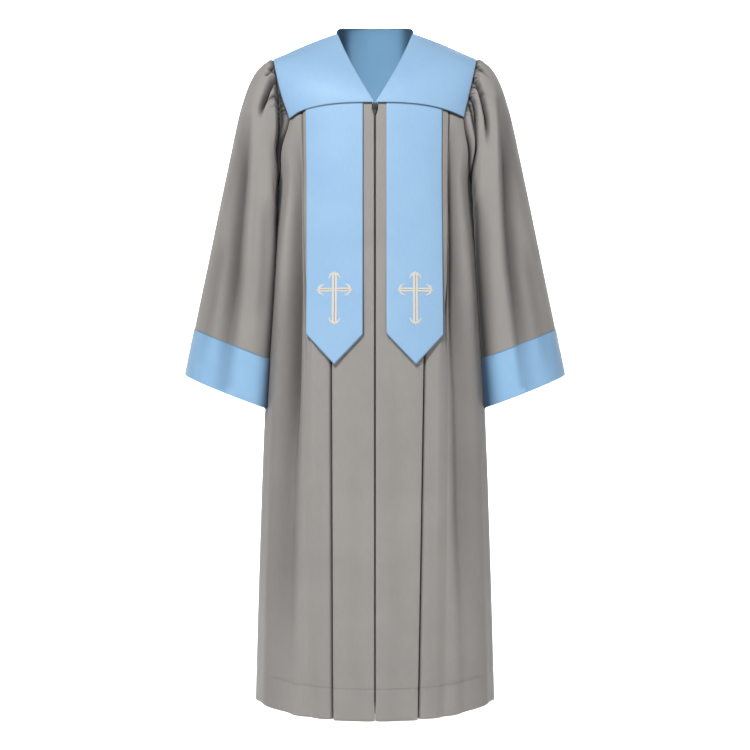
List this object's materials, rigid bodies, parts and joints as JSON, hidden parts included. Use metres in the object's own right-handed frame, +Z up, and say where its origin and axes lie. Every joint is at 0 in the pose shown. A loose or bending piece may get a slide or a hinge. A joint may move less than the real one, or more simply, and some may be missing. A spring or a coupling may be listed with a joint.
{
  "type": "clergy robe",
  "caption": "Full-length grey clergy robe with a V-necked light blue yoke, hanging stole bands with embroidered crosses, gathered bell sleeves, wide blue cuffs and a front zip.",
  "frame": {"origin": "midway between the two points where the neckline crosses the shoulders, where the robe hangs on its wearer", "axes": "+Z up, the front faces -Y, +X towards the wearer's left"},
  "size_m": [0.7612, 0.3339, 1.3662],
  "materials": {
    "grey_cloth": "matt plain-weave polyester",
    "blue_cloth": "smooth satin-back polyester with a low sheen",
    "cuff_cloth": "smooth satin-back polyester with a low sheen",
    "white_thread": "glossy embroidery thread",
    "zip_tape": "matt woven tape",
    "zip_metal": "dull nickel plate"
  },
  "bodies": {
    "robe": {"front_left": "grey_cloth", "front_right": "grey_cloth", "back": "grey_cloth", "sleeve_left": "grey_cloth", "sleeve_right": "grey_cloth", "yoke_front_left": "blue_cloth", "yoke_front_right": "blue_cloth", "yoke_back": "blue_cloth", "stole_left": "blue_cloth", "stole_right": "blue_cloth", "cuff_left": "cuff_cloth", "cuff_right": "cuff_cloth", "cross_left": "white_thread", "cross_right": "white_thread", "zip_tape": "zip_tape", "zip_slider": "zip_metal"},
    "pull": {"zip_pull": "zip_metal"}
  },
  "joints": [
    {"name": "pull_hinge", "type": "hinge", "parent": "robe", "child": "pull", "pos_m": [0, -0.1201, -0.1649], "axis": [-1, 0, 0], "range_deg": [0, 150]}
  ]
}
